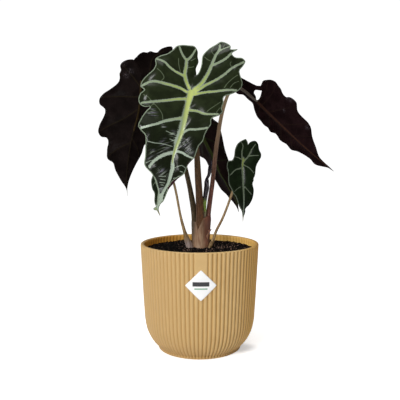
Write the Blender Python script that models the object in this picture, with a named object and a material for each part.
"""Potted alocasia: a ribbed pot of soil with a crown, six leaves and a rolled new leaf.

The lengths below are in millimetres and are turned into metres where a mesh is made.
+Z is up, -Y is the front, and the origin is the middle of the pot's flat foot.
"""
import math
import random

import bpy
import bmesh
import numpy as np
from mathutils import Vector
from mathutils.geometry import delaunay_2d_cdt

MM = 0.001
GAP = 0.3

# Pot
POT_HEIGHT = 124.0
RIBS = 85
RIB_DEPTH = 0.9
INNER_RIB_DEPTH = 0.5
RIB_FADE = 4.0
WALL = 4.0
FLOOR = 4.0
# The ribs stop for a smooth panel behind the label, which sits a little right of the front.
PANEL_RIBS = 3
PANEL_BOTTOM = 80.0
PANEL_TURN = math.radians(1.2)
# Radius and height of the outside, from the foot up to the rim.
POT_OUTSIDE = [
    (48.4, 0.0), (49.2, 1.4), (50.0, 3.6), (52.6, 5.8), (55.8, 9.6), (59.2, 14.6), (62.6, 22.0),
    (64.9, 32.0), (66.1, 47.0), (68.2, 86.0), (69.8, 119.0),
]
RIM_LIP = [(69.9, 121.4), (69.8, 123.3), (68.9, POT_HEIGHT), (66.9, POT_HEIGHT), (66.0, 123.2)]
INSIDE_RIBBED = [121.0, 110.0]
INSIDE_PLAIN = [47.0, 22.0, 12.0, FLOOR]

# Label
LABEL_HALF_DIAGONAL = 16.5
LABEL_HEIGHT = 88.6
LABEL_THICKNESS = 0.5
LABEL_GAP = 0.4
LABEL_CELLS = 8

# Soil
SOIL_EDGE = 116.0
SOIL_MOUND = 2.6
SOIL_MOUND_REACH = 24.0
SOIL_GRAIN = 0.7
SOIL_GRID = 7.5
SOIL_JITTER = 1.5
SOIL_CLEARANCE = 0.6
SOIL_SIDES = 56
# The crown stands in an oval hole in the soil, on a plug that fills the hole.
FOOT_HOLE = (19.0, 13.5)
FOOT_CENTRE = (-0.5, -1.0)
FOOT_SIDES = 20
FOOT_CLEARANCE = 0.5
FOOT_BOTTOM = 92.0
PLUG_TOP = 113.0

# Leaves
BLADE = 0.9
CREASE_REACH = 10.0
BUMP_REACH = 8.0
EDGE_STEP = 6.5
CELL = 8.5
# A small leaf has its points closer together, in proportion to this length.
FULL_LENGTH = 110.0
# The rib under the crease fades out over this length behind the junction.
RIB_TAIL = 12.0
# The rows of a grid of even triangles, and how near the edge its points may be, in cells.
ROW_SPACING = 0.87
EDGE_SPACING = 0.45

# Each leaf has a spine through points in space, from the top of its back lobes, past the
# junction with its stalk, to its tip. Its margins start at the bottom of the notch between
# the back lobes and run round to the tip. A margin point is (along, across, lift): along is
# the length down the spine from the junction, across is the distance to its side, and lift
# is how far the edge waves up there. left and right are as seen from above, tip down.
LEAVES = {
    "front": dict(
        spine=[(1, -26, 348), (-10, -42, 298), (-19, -53, 254), (-29, -58, 225), (-35, -60, 194),
               (-45, -59, 170)],
        junction=1, faces=(0.05, -0.95, 0.25), fold=10, curl=-3, rib=1.5, notch=-18,
        left=[(-26, 1, 0), (-38, 0, 0), (-48, -2, 0), (-53, -8, -1), (-51, -16, -1), (-47, -24, 1),
              (-41, -28, 2), (-33, -37, 1), (-28, -45, -2), (-18, -43, 2), (-6, -50, 0), (2, -55, -3),
              (10, -49, 3), (15, -53, 0), (22, -54, -3), (29, -46, 3), (36, -43, 3), (47, -46, 0),
              (57, -47, -3), (62, -42, 0), (67, -34, 2), (80, -30, 2), (90, -28, -3), (97, -18, 1),
              (106, -12, 0), (120, -7, 0)],
        right=[(-26, 5, 0), (-40, 5, 0), (-52, 9, 0), (-60, 16, -1), (-65, 23, -2), (-63, 31, 0),
               (-56, 34, 1), (-59, 42, -1), (-51, 37, 2), (-51, 48, -2), (-46, 52, -1), (-32, 48, 2),
               (-18, 55, -2), (-11, 51, 0), (-3, 43, 2), (3, 37, 1), (14, 38, -2), (22, 36, 0),
               (28, 29, 3), (38, 27, -2), (50, 25, 0), (58, 22, 2), (70, 22, -1), (80, 17, -2),
               (92, 16, 2), (98, 10, 0), (108, 6, 0), (125, 3, 0)],
    ),
    "left": dict(
        spine=[(-67, 14, 350), (-71, 25, 311), (-76, 33, 281), (-86, 40, 242), (-92, 45, 185),
               (-91, 45, 175)],
        junction=1, faces=(-0.15, 0.95, 0.2), fold=12, curl=2, rib=1.4, notch=-12,
        left=[(-19, -1, 0), (-30, 1, 2), (-40, -4, 2), (-40, -18, 3), (-48, -27, -2), (-49, -36, -2),
              (-36, -37, 2), (-22, -44, -2), (-8, -42, 3), (6, -49, -3), (20, -43, 3), (34, -45, -3),
              (46, -36, 3), (60, -29, -2), (73, -18, 0), (88, -15, 1), (108, -8, 0), (122, -2, 0)],
        right=[(-19, 1, 0), (-28, 4, -3), (-31, 12, 0), (-28, 22, -3), (-21, 26, 2), (-10, 26, 2),
               (2, 28, 3), (12, 40, 0), (22, 50, -3), (31, 45, 0), (39, 41, 3), (54, 44, 0),
               (66, 43, -3), (70, 32, 3), (91, 27, -3), (98, 19, 1), (112, 11, 0), (127, 1.5, 0)],
    ),
    "right": dict(
        spine=[(43, 14, 322), (69, 22, 293), (99, 27, 265), (135, 31, 233), (166, 32, 208)],
        junction=1, faces=(0.18, 0.97, 0.19), fold=28, curl=4, rib=1.4, notch=-1,
        left=[(-4, -7, 0), (-5, -14, 0), (-11, -20, 0), (-10, -27, 3), (-1, -37, -2), (6, -37, -2),
              (16, -33, 3), (28, -35, 0), (42, -36, -3), (49, -29, 4), (68, -28, -3), (82, -18, 2),
              (100, -6, 0), (112, -2, 0), (121, -1, 0)],
        right=[(-5, -4, 0), (-11, -6, 0), (-12, -17, 0), (-22, -12, 2), (-36, -6, 0), (-42, 4, 0),
               (-36, 14, -2), (-23, 15, 2), (-13, 9, 3), (0, 10, 2), (15, 17, -3), (27, 18, 3),
               (40, 21, -3), (48, 16, 3), (58, 19, -3), (74, 17, 2), (97, 8, 1), (112, 3, 0), (121, 1, 0)],
    ),
    "back": dict(
        spine=[(-17, 34, 305), (-4, 44, 272), (4, 50, 251), (22, 56, 214), (46, 60, 177), (51, 61, 154)],
        junction=1, faces=(0.3, 0.93, 0.2), fold=30, curl=3, rib=1.3, notch=-10,
        left=[(-20, -2, 0), (-31, -6, 0), (-33, -15, -2), (-20, -18, 2), (-6, -22, -2), (6, -20, 2),
              (16, -26, -2), (29, -24, 2), (52, -20, -2), (70, -16, 1), (90, -9, 0), (112, -2, 0)],
        right=[(-20, 2, 0), (-31, 7, 0), (-30, 17, -2), (-15, 19, 2), (0, 24, -2), (14, 22, 2),
               (28, 24, -2), (38, 19, 2), (48, 18, 0), (60, 17, 2), (72, 18, -2), (84, 18, 1),
               (98, 15, -1), (112, 9, 0), (123, 2, 0)],
    ),
    "small_right": dict(
        spine=[(58, -4, 245), (50, -9, 220), (50, -13, 202), (51, -17, 176), (50, -18, 150)],
        junction=1, faces=(0.1, -0.95, 0.25), fold=8, curl=-2, rib=0.9, notch=-22,
        left=[(-26, -2, 0), (-28, -6, -1), (-22, -11, 1), (-15, -12, 1), (-6, -11, 0), (-1, -11, 0),
              (0, -14, -1), (2, -18, -1), (8, -19, 1), (25, -17, -1), (35, -13, 1), (45, -8, 0),
              (56, -3, 0)],
        right=[(-26, 2, 0), (-29, 7, -1), (-22, 13, 1), (-15, 18, -1), (-3, 18, 1), (15, 14, -1),
               (24, 11, 1), (35, 12, -1), (44, 8, 1), (56, 2, 0)],
    ),
    "small_left": dict(
        spine=[(-31, -30, 236), (-36, -34, 220), (-44, -38, 195), (-47, -39, 170)],
        junction=1, faces=(-0.55, -0.8, 0.2), fold=20, curl=2, rib=0.8, notch=-8,
        left=[(-15, -3, 0), (-17, -8, -1), (-9, -11, 1), (4, -12, -1), (18, -10, 1), (28, -9, -1),
              (36, -7, 0), (44, -4, 0)],
        right=[(-15, 3, 0), (-17, 8, -1), (-9, 11, 1), (4, 12, -1), (17, 9, 1), (30, 7, -1),
               (42, 4, 0)],
    ),
}

# Each stalk runs through (x, y, z, radius), from inside the plug up to below its blade. The
# height is where the crown's own sheath ends and the free stalk starts.
STALKS = {
    "front": dict(foot=150.0, path=[
        (0.5, -3, 98, 5.2), (0.8, -4, 124, 5.4), (0.8, -4, 146, 4.9), (-0.1, -5, 176, 4.2),
        (-1.9, -9, 207, 3.2), (-3.3, -16, 237, 2.6), (-6.5, -28, 270, 2.1)]),
    "left": dict(foot=150.0, path=[
        (-2.0, 2, 98, 4.4), (-4.2, 4.6, 124, 4.6), (-5.2, 5, 141, 4.0), (-6.2, 5.4, 156, 3.5),
        (-10.5, 6, 184, 2.7), (-16.2, 8, 210, 2.3), (-27, 11, 248, 2.1), (-42.6, 14, 284, 2.0),
        (-57, 17, 304, 1.8), (-65, 18.5, 310, 1.7)]),
    "right": dict(foot=150.0, path=[
        (3.0, 1, 98, 4.0), (6.6, 2.6, 124, 4.2), (8.8, 4.2, 144, 3.4), (11.2, 4.2, 165, 3.1),
        (15.2, 4.5, 195, 3.0), (21.3, 6, 248, 2.8), (28.8, 7, 286, 2.1), (33.5, 8, 299, 1.9),
        (40.5, 9.5, 309.5, 1.8), (51.0, 12.5, 305.5, 1.7), (60.5, 15.2, 298.5, 1.6)]),
    "back": dict(foot=150.0, path=[
        (0.5, 4, 98, 3.4), (0.6, 9, 124, 3.4), (0.5, 11, 156, 2.7), (-0.1, 14, 180, 2.3),
        (-1.7, 21, 210, 2.1), (-2.8, 29, 234, 1.9), (-4.2, 35, 256, 1.7)]),
    "small_right": dict(foot=123.5, path=[
        (6.0, -3, 98, 2.6), (9.6, -4, 113, 2.6), (12.0, -4, 120, 2.3), (15.2, -4, 126.5, 1.9),
        (19.4, -4, 138.3, 1.6), (26.3, -3, 152, 1.5), (38.9, 0, 185, 1.4), (46.0, -1, 207, 1.3)]),
    "small_left": dict(foot=133.0, path=[
        (-6.0, -2, 98, 3.0), (-10.5, -5, 116, 4.2), (-14.0, -7, 127, 3.6), (-17.2, -8.6, 137.5, 2.2),
        (-20.5, -11, 150, 1.7), (-29.4, -22, 196.5, 1.4), (-33.5, -28.5, 211, 1.3)]),
}
END_RADIUS = 1.1
END_CLEARANCE = 0.1
NEW_LEAF = dict(foot=150.0, path=[
    (3.5, -2, 98, 2.4), (5.6, -2.0, 124, 2.6), (6.6, -1.0, 146, 1.9), (6.8, -1.2, 158, 1.9),
    (6.9, -2.0, 170, 2.3), (7.8, -2.8, 182, 2.5), (9.2, -3, 199, 2.5), (11.4, -3, 211, 1.9),
    (13.9, -3, 222, 0.7)])
STALK_SIDES = 9
STALK_STEP = 12.0
SHEATH_STEP = 8.0
SHEATH_GAP = GAP + 0.1
TRUNK = [(0.8, -0.4, 98, 9.0), (1.2, -0.4, 110, 9.8), (1.8, -0.2, 122, 9.3), (1.6, 0, 132, 7.4),
         (1.4, 0.4, 139, 4.6)]
TRUNK_SIDES = 14
TRUNK_STEP = 7.0


def clear_scene():
    for old in list(bpy.data.objects):
        bpy.data.objects.remove(old)


def finish(name, colour, roughness):
    made = bpy.data.materials.new(name)
    made.use_nodes = True
    shader = made.node_tree.nodes["Principled BSDF"]
    shader.inputs["Base Color"].default_value = (*colour, 1.0)
    shader.inputs["Roughness"].default_value = roughness
    return made


def add_object(name, points, faces, material):
    """Make one object from points in millimetres, with its faces turned outwards."""
    mesh = bpy.data.meshes.new(name)
    mesh.from_pydata([tuple(c * MM for c in point) for point in points], [], faces)
    bm = bmesh.new()
    bm.from_mesh(mesh)
    bmesh.ops.recalc_face_normals(bm, faces=bm.faces)
    bmesh.ops.triangulate(bm, faces=[face for face in bm.faces if len(face.verts) > 4])
    bm.to_mesh(mesh)
    bm.free()
    mesh.materials.append(material)
    made = bpy.data.objects.new(name, mesh)
    bpy.context.scene.collection.objects.link(made)
    return made


def spline(points, knots, where):
    """Place and direction on a smooth curve through points, which goes on straight past its ends."""
    points = np.asarray(points, float)
    knots = np.asarray(knots, float)
    slopes = np.empty_like(points)
    runs = np.diff(points, axis=0) / np.diff(knots)[:, None]
    before = np.diff(knots)[:-1, None]
    after = np.diff(knots)[1:, None]
    slopes[1:-1] = (runs[1:] * before + runs[:-1] * after) / (before + after)
    slopes[0] = runs[0]
    slopes[-1] = runs[-1]
    where = np.atleast_1d(np.asarray(where, float))
    i = np.clip(np.searchsorted(knots, where, side="right") - 1, 0, len(knots) - 2)
    length = (knots[i + 1] - knots[i])[:, None]
    full = (where - knots[i])[:, None] / length
    s = np.clip(full, 0, 1)
    place = (
        (2 * s**3 - 3 * s**2 + 1) * points[i] + (s**3 - 2 * s**2 + s) * length * slopes[i]
        + (3 * s**2 - 2 * s**3) * points[i + 1] + (s**3 - s**2) * length * slopes[i + 1]
    )
    direction = (
        (6 * s**2 - 6 * s) * (points[i] - points[i + 1]) / length
        + (3 * s**2 - 4 * s + 1) * slopes[i] + (3 * s**2 - 2 * s) * slopes[i + 1]
    )
    return place + (full - s) * length * direction, direction


def chord_knots(points):
    steps = np.linalg.norm(np.diff(np.asarray(points, float), axis=0), axis=1)
    return np.concatenate([[0.0], np.cumsum(steps)])


def unit(vectors):
    return vectors / np.linalg.norm(vectors, axis=-1, keepdims=True)


# Pot

def pot_ring(radius, height, depth, steps=2):
    """One level of the pot: a crest and a groove for each rib, with the grooves of the panel filled."""
    ring = []
    for step in range(RIBS * steps):
        turn = step / steps
        from_panel = (turn + RIBS / 2) % RIBS - RIBS / 2
        on_panel = abs(from_panel) < (PANEL_RIBS - 0.5) / 2 and height > PANEL_BOTTOM
        groove = step % steps == 1 and not on_panel
        r = radius - (depth if groove else 0.0)
        angle = 2 * math.pi * turn / RIBS + PANEL_TURN - math.pi / 2
        ring.append((r * math.cos(angle), r * math.sin(angle), height))
    return ring


def inner_radius(height):
    heights = [z for _, z in POT_OUTSIDE]
    radii = [r for r, _ in POT_OUTSIDE]
    return float(np.interp(height, heights, radii)) - WALL


def build_pot(material):
    levels = []
    for radius, height in POT_OUTSIDE:
        fade = min(1.0, height / RIB_FADE)
        levels.append(pot_ring(radius, height, RIB_DEPTH * fade))
    for radius, height in RIM_LIP:
        levels.append(pot_ring(radius, height, 0.0))
    for height in INSIDE_RIBBED:
        levels.append(pot_ring(inner_radius(height), height, -INNER_RIB_DEPTH))
    for height in INSIDE_PLAIN:
        levels.append(pot_ring(inner_radius(height), height, 0.0, steps=1))
    points = [point for level in levels for point in level]
    starts = list(np.cumsum([0] + [len(level) for level in levels]))
    faces = []
    for n, level in enumerate(levels[:-1]):
        here = starts[n]
        there = starts[n + 1]
        count = len(level)
        next_count = len(levels[n + 1])
        for k in range(count):
            a = here + k
            b = here + (k + 1) % count
            if count == next_count:
                faces.append((a, b, there + (k + 1) % count, there + k))
            elif k % 2 == 0:
                c = there + k // 2
                d = there + (k // 2 + 1) % next_count
                faces += [(a, b, c), (b, here + (k + 2) % count, d), (b, d, c)]
    faces.append(tuple(range(starts[0], starts[1])))
    faces.append(tuple(range(starts[-2], starts[-1])))
    return add_object("pot", points, faces, material)


def build_label(material):
    """A thin diamond bent round the panel, with a hair's gap behind it."""
    count = LABEL_CELLS + 1
    slope = (POT_OUTSIDE[-1][0] - POT_OUTSIDE[-2][0]) / (POT_OUTSIDE[-1][1] - POT_OUTSIDE[-2][1])
    points = []
    for depth in (0.0, LABEL_THICKNESS):
        for i in range(count):
            for j in range(count):
                a = i / LABEL_CELLS - 0.5
                b = j / LABEL_CELLS - 0.5
                across = (a - b) * LABEL_HALF_DIAGONAL
                height = LABEL_HEIGHT + (a + b) * LABEL_HALF_DIAGONAL
                base = POT_OUTSIDE[-2][0] + (height - POT_OUTSIDE[-2][1]) * slope
                r = base + LABEL_GAP + depth
                angle = across / base + PANEL_TURN - math.pi / 2
                points.append((r * math.cos(angle), r * math.sin(angle), height))
    half = count * count
    faces = []
    for i in range(LABEL_CELLS):
        for j in range(LABEL_CELLS):
            a = i * count + j
            cell = (a, a + 1, a + count + 1, a + count)
            faces.append(tuple(reversed(cell)))
            faces.append(tuple(half + k for k in cell))
    rim = list(range(count))
    rim += [i * count + LABEL_CELLS for i in range(1, count)]
    rim += [LABEL_CELLS * count + j for j in range(LABEL_CELLS - 1, -1, -1)]
    rim += [i * count for i in range(LABEL_CELLS - 1, 0, -1)]
    for k, a in enumerate(rim):
        b = rim[(k + 1) % len(rim)]
        faces.append((a, b, half + b, half + a))
    return add_object("label", points, faces, material)


# Soil

def triangulate(rim_loops, inner_points):
    """Points and triangles in the plane between closed loops, with more points inside."""
    flat = []
    edges = []
    for loop in rim_loops:
        start = len(flat)
        flat += [Vector(point[:2]) for point in loop]
        edges += [(start + k, start + (k + 1) % len(loop)) for k in range(len(loop))]
    flat += [Vector(point[:2]) for point in inner_points]
    made = delaunay_2d_cdt(flat, edges, [], 1, 1e-7)
    return [tuple(point) for point in made[0]], [tuple(face) for face in made[2]]


def soil_height(x, y, grain):
    """Peat that rises gently towards the plant, with coarse grains on it."""
    mound = SOIL_MOUND * math.exp(-(x**2 + y**2) / (2 * SOIL_MOUND_REACH**2))
    return SOIL_EDGE + mound + grain


def soil_ring(height):
    radius = inner_radius(height) - SOIL_CLEARANCE
    turns = [2 * math.pi * k / SOIL_SIDES for k in range(SOIL_SIDES)]
    return [(radius * math.cos(turn), radius * math.sin(turn), height) for turn in turns]


def foot_ring(height, clearance):
    """A ring round the oval foot of the plant, a little inside the hole in the soil."""
    ring = []
    for k in range(FOOT_SIDES):
        turn = 2 * math.pi * k / FOOT_SIDES
        x = FOOT_CENTRE[0] + (FOOT_HOLE[0] - clearance) * math.cos(turn)
        y = FOOT_CENTRE[1] + (FOOT_HOLE[1] - clearance) * math.sin(turn)
        ring.append((x, y, height))
    return ring


def soil_grains(draw):
    """Uneven places for the soil's surface points, clear of the pot and of the plant's foot."""
    reach = inner_radius(SOIL_EDGE) - SOIL_CLEARANCE - SOIL_GRID / 2
    margin = SOIL_GRID / 3
    rows = int(reach / SOIL_GRID) + 1
    grains = []
    for i in range(-rows, rows + 1):
        for j in range(-rows, rows + 1):
            x = (i + 0.5 * (j % 2)) * SOIL_GRID + draw.uniform(-SOIL_JITTER, SOIL_JITTER)
            y = j * SOIL_GRID * ROW_SPACING + draw.uniform(-SOIL_JITTER, SOIL_JITTER)
            near_foot = math.hypot(
                (x - FOOT_CENTRE[0]) / (FOOT_HOLE[0] + margin),
                (y - FOOT_CENTRE[1]) / (FOOT_HOLE[1] + margin),
            )
            if math.hypot(x, y) < reach and near_foot > 1:
                grains.append((x, y))
    return grains


def build_soil(material):
    draw = random.Random(5)
    rim = soil_ring(SOIL_EDGE)
    hole = foot_ring(FOOT_BOTTOM, 0.0)
    flat, triangles = triangulate([rim, hole], soil_grains(draw))
    edge_count = SOIL_SIDES + FOOT_SIDES
    points = []
    for n, (x, y) in enumerate(flat):
        grain = draw.uniform(-SOIL_GRAIN, SOIL_GRAIN) if n >= edge_count else 0.0
        points.append((x, y, soil_height(x, y, grain)))
    lip = list(range(SOIL_SIDES, edge_count))
    faces = [face for face in triangles if not set(face) <= set(lip)]
    walls = []
    above = list(range(SOIL_SIDES))
    for height in [*INSIDE_PLAIN[:-1], FLOOR + GAP]:
        below = [len(points) + k for k in range(SOIL_SIDES)]
        points += soil_ring(height)
        walls.append((above, below))
        above = below
    floor = [len(points) + k for k in range(FOOT_SIDES)]
    points += hole
    walls.append((lip, floor))
    for upper, lower in walls:
        for k in range(len(upper)):
            faces.append((upper[k - 1], upper[k], lower[k], lower[k - 1]))
    faces += [tuple(above), tuple(floor)]
    return add_object("soil", points, faces, material)


# Stalks and crown

def tube_rings(path, start, end, step, sides):
    """Rings of points round a path of (x, y, z, radius), between two lengths along it."""
    knots = chord_knots([p[:3] for p in path])
    count = max(2, round((end - start) / step) + 1)
    along = np.linspace(start, end, count)
    place, direction = spline(path, knots, along)
    centre = place[:, :3]
    radius = place[:, 3]
    heading = unit(direction[:, :3])
    aside = unit(np.cross(heading, (0.0, 1.0, 0.0)))
    other = np.cross(heading, aside)
    rings = []
    for c, r, a, b in zip(centre, radius, aside, other):
        turn = [2 * math.pi * k / sides for k in range(sides)]
        rings.append([tuple(c + r * (math.cos(t) * a + math.sin(t) * b)) for t in turn])
    return rings


def skin(rings):
    """Points and faces of a closed tube through rings, with flat ends."""
    sides = len(rings[0])
    points = [point for ring in rings for point in ring]
    faces = [tuple(range(sides)), tuple(range(len(points) - sides, len(points)))]
    for n in range(len(rings) - 1):
        for k in range(sides):
            a = n * sides + k
            b = n * sides + (k + 1) % sides
            faces.append((a, b, b + sides, a + sides))
    return points, faces


def path_length(path):
    return float(chord_knots([point[:3] for point in path])[-1])


def length_at_height(path, height):
    """How far along a path it first reaches a height."""
    along = np.linspace(0, path_length(path), 400)
    place, _ = spline(path, chord_knots([point[:3] for point in path]), along)
    return float(along[np.argmax(place[:, 2] >= height)])


def stalk_path(name):
    """The whole path of a stalk, which ends just under its blade's junction."""
    path = list(STALKS[name]["path"])
    leaf = LEAVES[name]
    centre, _, up = spine_frame(leaf, [0.0])
    under = centre[0] - up[0] * (BLADE / 2 + leaf["rib"] + END_CLEARANCE + END_RADIUS)
    path.append((*under, END_RADIUS))
    return path


def build_free_part(name, path, foot, step, material):
    """The part of a stalk or rolled leaf above its sheath, with a hair's gap below it."""
    start = length_at_height(path, foot) + SHEATH_GAP
    points, faces = skin(tube_rings(path, start, path_length(path), step, STALK_SIDES))
    return add_object(name, points, faces, material)


def build_crown(material):
    """Sheaths round a short trunk on a buried plug, grown together into one body."""
    shapes = [skin(tube_rings(TRUNK, 0.0, path_length(TRUNK), TRUNK_STEP, TRUNK_SIDES))]
    shoots = [(stalk_path(name), STALKS[name]["foot"]) for name in STALKS]
    shoots.append((NEW_LEAF["path"], NEW_LEAF["foot"]))
    for path, foot in shoots:
        end = length_at_height(path, foot)
        shapes.append(skin(tube_rings(path, 0.0, end, SHEATH_STEP, STALK_SIDES)))
    parts = bpy.data.collections.new("crown_parts")
    bpy.context.scene.collection.children.link(parts)
    for n, (points, faces) in enumerate(shapes):
        shape = add_object(f"sheath_{n}", points, faces, material)
        bpy.context.scene.collection.objects.unlink(shape)
        parts.objects.link(shape)
    bottom = foot_ring(FOOT_BOTTOM + GAP, FOOT_CLEARANCE)
    points, faces = skin([bottom, foot_ring(PLUG_TOP, FOOT_CLEARANCE)])
    crown = add_object("crown", points, faces, material)
    join = crown.modifiers.new("join", "BOOLEAN")
    join.operation = "UNION"
    join.operand_type = "COLLECTION"
    join.collection = parts
    join.solver = "EXACT"
    bpy.context.view_layer.update()
    evaluated = crown.evaluated_get(bpy.context.evaluated_depsgraph_get())
    joined = bpy.data.meshes.new_from_object(evaluated)
    crown.modifiers.clear()
    crown.data = joined
    for shape in list(parts.objects):
        bpy.data.objects.remove(shape)
    bpy.data.collections.remove(parts)
    return crown


# Blades

def spine_frame(leaf, along):
    """Centre, heading and upward direction of a leaf's spine at lengths from its junction."""
    knots = chord_knots(leaf["spine"])
    place, direction = spline(leaf["spine"], knots - knots[leaf["junction"]], along)
    heading = unit(direction)
    faces = np.array(leaf["faces"], float)
    up = unit(faces - heading * (heading @ faces)[:, None])
    return place, heading, up


def spine_length(leaf):
    knots = chord_knots(leaf["spine"])
    return knots[-1] - knots[leaf["junction"]]


def crease_distance(leaf, along, across):
    """How far a point of the blade is from the crease that its two halves share."""
    past_notch = np.maximum(leaf["notch"] - along, 0)
    past_tip = np.maximum(along - spine_length(leaf), 0)
    return np.sqrt(past_notch**2 + past_tip**2 + across**2)


def on_blade(leaf, side, along, across):
    """The middle surface of one half of a blade. side is -1 for left and 1 for right."""
    along = np.asarray(along, float)
    across = np.asarray(across, float)
    centre, heading, up = spine_frame(leaf, along)
    aside = np.cross(up, heading)
    fold = math.radians(leaf["fold"])
    curl = math.radians(leaf["curl"]) / 10
    out = across * side
    flat = (np.sin(fold + curl * out) - math.sin(fold)) / curl
    rise = (math.cos(fold) - np.cos(fold + curl * out)) / curl
    margin = np.array(leaf["left" if side < 0 else "right"], float)
    apart = (along[:, None] - margin[:, 0]) ** 2 + (across[:, None] - margin[:, 1]) ** 2
    lift = (np.exp(-apart / (2 * BUMP_REACH**2)) * margin[:, 2]).sum(axis=1)
    lift *= 1 - np.exp(-((crease_distance(leaf, along, across) / CREASE_REACH) ** 2))
    return centre + aside * (flat * side)[:, None] + up * (rise + lift)[:, None]


def margin_line(leaf, side, step):
    """A smooth line from the notch round one half's margin to the tip, without its two ends."""
    margin = [point[:2] for point in leaf["left" if side < 0 else "right"]]
    points = [(leaf["notch"], 0.0), *margin, (spine_length(leaf), 0.0)]
    knots = chord_knots(points)
    where = []
    for start, end in zip(knots[:-1], knots[1:]):
        pieces = max(1, round((end - start) / step))
        where += [start + (end - start) * k / pieces for k in range(pieces)]
    place, _ = spline(points, knots, where[1:])
    return [tuple(point) for point in place]


def inside(loop, x, y):
    crossings = 0
    for (ax, ay), (bx, by) in zip(loop, loop[1:] + loop[:1]):
        if (ay > y) != (by > y) and x < ax + (y - ay) * (bx - ax) / (by - ay):
            crossings += 1
    return crossings % 2 == 1


def rim_clearance(loop, x, y):
    loop = np.array(loop)
    run = np.roll(loop, -1, axis=0) - loop
    to = np.array((x, y)) - loop
    share = np.clip((to * run).sum(axis=1) / np.maximum((run**2).sum(axis=1), 1e-9), 0, 1)
    return float(np.linalg.norm(to - run * share[:, None], axis=1).min())


def half_blade(leaf, side, step, cell):
    """Flat points (along, across) and triangles of one half, with its crease points first."""
    length = spine_length(leaf)
    creases = max(4, round((length - leaf["notch"]) / step))
    crease = [(leaf["notch"] + (length - leaf["notch"]) * k / creases, 0.0) for k in range(creases + 1)]
    loop = crease + margin_line(leaf, side, step)[::-1]
    lengths = [a for a, _ in loop]
    widths = [b for _, b in loop]
    inner = []
    for row, across in enumerate(np.arange(min(widths), max(widths), cell * ROW_SPACING)):
        for along in np.arange(min(lengths) + (row % 2) * cell / 2, max(lengths), cell):
            if inside(loop, along, across) and rim_clearance(loop, along, across) > cell * EDGE_SPACING:
                inner.append((along, across))
    points, faces = triangulate([loop], inner)
    return points, faces, creases + 1, len(loop)


def build_blade(name, material):
    """Both halves joined along the crease, with the underside a copy of the upper side."""
    leaf = LEAVES[name]
    length = spine_length(leaf)
    scale = min(1.0, length / FULL_LENGTH)
    places = []
    faces = []
    rims = []
    for side in (-1, 1):
        flat, triangles, crease_count, rim_count = half_blade(leaf, side, EDGE_STEP * scale, CELL * scale)
        flat = np.array(flat)
        solid = on_blade(leaf, side, flat[:, 0], flat[:, 1])
        first = len(places)
        number = {}
        for k, point in enumerate(solid):
            if side == 1 and k < crease_count:
                number[k] = k
            else:
                number[k] = first + k - (crease_count if side == 1 else 0)
                places.append(point)
        for face in triangles:
            faces.append(tuple(number[k] for k in face))
        rims.append([number[k] for k in range(crease_count - 1, rim_count)])
    places = np.array(places)
    up = blade_normals(places, faces, leaf)
    thick = np.full(len(places), BLADE / 2)
    under = thick.copy()
    along = np.linspace(leaf["notch"], length, crease_count)
    fade = np.where(along < 0, 1 + along / RIB_TAIL, 1 - along / length).clip(0)
    under[:crease_count] += leaf["rib"] * fade
    points = list(places + up * thick[:, None]) + list(places - up * under[:, None])
    count = len(places)
    # The rims run from the tip back to the notch, the right one reversed to close the loop.
    loop = rims[0] + [0] + rims[1][:0:-1]
    walls = []
    for a, b in zip(loop, loop[1:] + loop[:1]):
        walls.append((a, b, b + count, a + count))
    upper = [tuple(face) for face in faces]
    lower = [tuple(k + count for k in reversed(face)) for face in faces]
    return add_object("blade_" + name, points, upper + lower + walls, material)


def blade_normals(places, faces, leaf):
    """The upward direction at each point, from the triangles round it."""
    _, _, up = spine_frame(leaf, [spine_length(leaf) / 2])
    corners = places[np.array(faces)]
    normals = np.cross(corners[:, 1] - corners[:, 0], corners[:, 2] - corners[:, 0])
    flips = np.where(normals @ up[0] < 0, -1.0, 1.0)
    total = np.zeros_like(places)
    for k in range(3):
        np.add.at(total, np.array(faces)[:, k], normals * flips[:, None])
    return unit(total)


def main():
    clear_scene()
    pot_plastic = finish("pot_plastic", (0.55, 0.36, 0.16), 0.55)
    label_card = finish("label_card", (0.85, 0.85, 0.84), 0.5)
    peat = finish("peat", (0.03, 0.02, 0.014), 0.95)
    sheath = finish("sheath", (0.28, 0.17, 0.12), 0.5)
    stalk = finish("stalk_skin", (0.22, 0.14, 0.07), 0.45)
    blade = finish("blade_skin", (0.015, 0.03, 0.012), 0.35)
    rolled = finish("rolled_leaf_skin", (0.03, 0.015, 0.025), 0.3)
    build_pot(pot_plastic)
    build_label(label_card)
    build_soil(peat)
    build_crown(sheath)
    build_free_part("new_leaf", NEW_LEAF["path"], NEW_LEAF["foot"], SHEATH_STEP, rolled)
    for name in LEAVES:
        build_free_part("stalk_" + name, stalk_path(name), STALKS[name]["foot"], STALK_STEP, stalk)
        build_blade(name, blade)


main()
